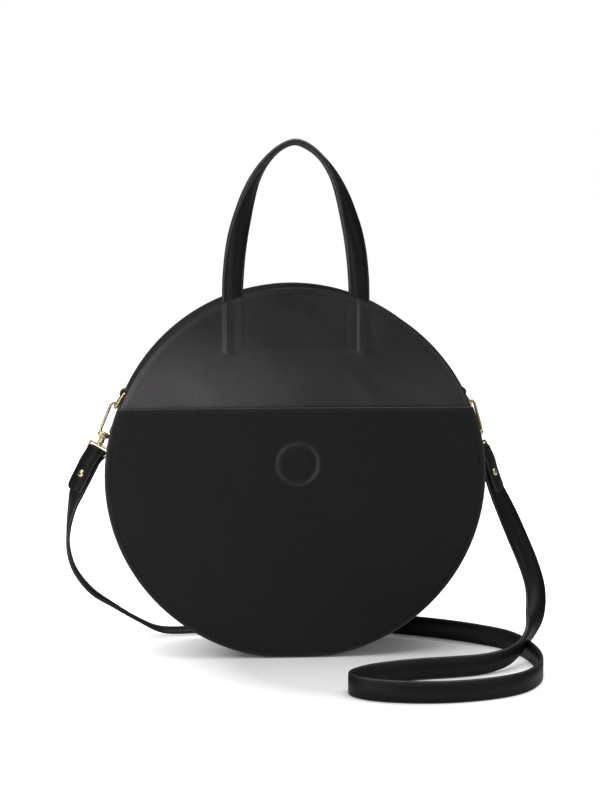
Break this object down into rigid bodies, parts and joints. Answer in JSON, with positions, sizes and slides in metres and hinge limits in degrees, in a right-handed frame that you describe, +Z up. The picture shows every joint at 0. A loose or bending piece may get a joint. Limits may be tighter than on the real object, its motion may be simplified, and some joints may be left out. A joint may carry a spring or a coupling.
{
  "type": "circle bag",
  "caption": "Round flat-sided leather bag with a zipped mouth, a magnet slip pocket, a twisted carry handle and a clip-on shoulder strap.",
  "frame": {"origin": "centre of the flattened base on the surface that the bag stands on, midway through its depth, without the strap and its clasps", "axes": "+X to the bag's right as seen from the pocket's side, +Y from the pocket's side to the back, +Z up through the handle"},
  "size_m": [0.3607, 0.2181, 0.3812],
  "materials": {
    "black_leather": "satin grain",
    "black_cloth": "woven",
    "pale_gold": "polished plating",
    "magnet_steel": "plated",
    "base_board": "plain"
  },
  "bodies": {
    "shell": {"back_panel": "black_leather", "front_panel": "black_leather", "pocket_panel": "black_leather", "base_gusset": "black_leather", "gusset_back": "black_leather", "tape_back": "black_cloth", "teeth_back": "pale_gold", "zip_ends": "black_cloth", "zip_stops": "pale_gold", "lining_back": "black_cloth", "lining_front": "black_cloth", "base_board": "base_board", "magnet_body": "magnet_steel", "tab_left": "black_leather", "tab_right": "black_leather", "swivel_left": "pale_gold", "swivel_right": "pale_gold", "strap": "black_leather", "lap_left": "black_leather", "lap_right": "black_leather", "rivet_left": "pale_gold", "rivet_right": "pale_gold"},
    "mouth": {"mouth_panel": "black_leather", "gusset_front": "black_leather", "tape_front": "black_cloth", "teeth_front": "pale_gold", "lining_mouth": "black_cloth", "handle_ends": "black_leather", "handle_patch": "black_cloth"},
    "handle": {"handle": "black_leather"},
    "pocket": {"pocket_mouth": "black_leather", "magnet_pocket": "magnet_steel"},
    "slider": {"slider": "pale_gold"},
    "pull": {"pull": "pale_gold"},
    "ring_left": {"ring_left": "pale_gold"},
    "ring_right": {"ring_right": "pale_gold"},
    "clasp_left": {"clasp_left": "pale_gold"},
    "clasp_right": {"clasp_right": "pale_gold"},
    "gate_left": {"gate_left": "pale_gold"},
    "gate_right": {"gate_right": "pale_gold"}
  },
  "joints": [
    {"name": "mouth_open", "type": "hinge", "parent": "shell", "child": "mouth", "pos_m": [0, -0.032, 0.221], "axis": [1, 0, 0], "range_deg": [0, 35]},
    {"name": "handle_tilt", "type": "hinge", "parent": "mouth", "child": "handle", "pos_m": [0, -0.0278, 0.27247], "axis": [1, 0, 0], "range_deg": [-70, 70]},
    {"name": "pocket_open", "type": "hinge", "parent": "shell", "child": "pocket", "pos_m": [0, -0.034, 0.104], "axis": [1, 0, 0], "range_deg": [0, 10], "stiffness_Nm_per_rad": 0.1},
    {"name": "slider_run", "type": "hinge", "parent": "shell", "child": "slider", "pos_m": [0, 0, 0.135], "axis": [0, -1, 0], "range_deg": [0, 106.07]},
    {"name": "pull_swing", "type": "hinge", "parent": "slider", "child": "pull", "pos_m": [0.11122, 0, 0.2187], "axis": [0, -1, 0], "range_deg": [0, 150]},
    {"name": "ring_left_swing", "type": "hinge", "parent": "shell", "child": "ring_left", "pos_m": [-0.12591, 0, 0.19436], "axis": [0, 1, 0], "range_deg": [-1.5, 1.5]},
    {"name": "clasp_left_turn", "type": "hinge", "parent": "shell", "child": "clasp_left", "pos_m": [-0.13279, 0, 0.18453], "axis": [-0.3907, 0, -0.9205], "range_deg": [-12, 12]},
    {"name": "gate_left_open", "type": "hinge", "parent": "clasp_left", "child": "gate_left", "pos_m": [-0.13691, 0, 0.16537], "axis": [0, -1, 0], "range_deg": [0, 18], "stiffness_Nm_per_rad": 0.02, "springref_deg": -11.46},
    {"name": "ring_right_swing", "type": "hinge", "parent": "shell", "child": "ring_right", "pos_m": [0.12591, 0, 0.19436], "axis": [0, 1, 0], "range_deg": [-1.5, 1.5]},
    {"name": "clasp_right_turn", "type": "hinge", "parent": "shell", "child": "clasp_right", "pos_m": [0.13279, 0, 0.18453], "axis": [0.2756, 0, -0.9613], "range_deg": [-12, 12]},
    {"name": "gate_right_open", "type": "hinge", "parent": "clasp_right", "child": "gate_right", "pos_m": [0.13454, 0, 0.16501], "axis": [0, 1, 0], "range_deg": [0, 18], "stiffness_Nm_per_rad": 0.02, "springref_deg": -11.46}
  ]
}
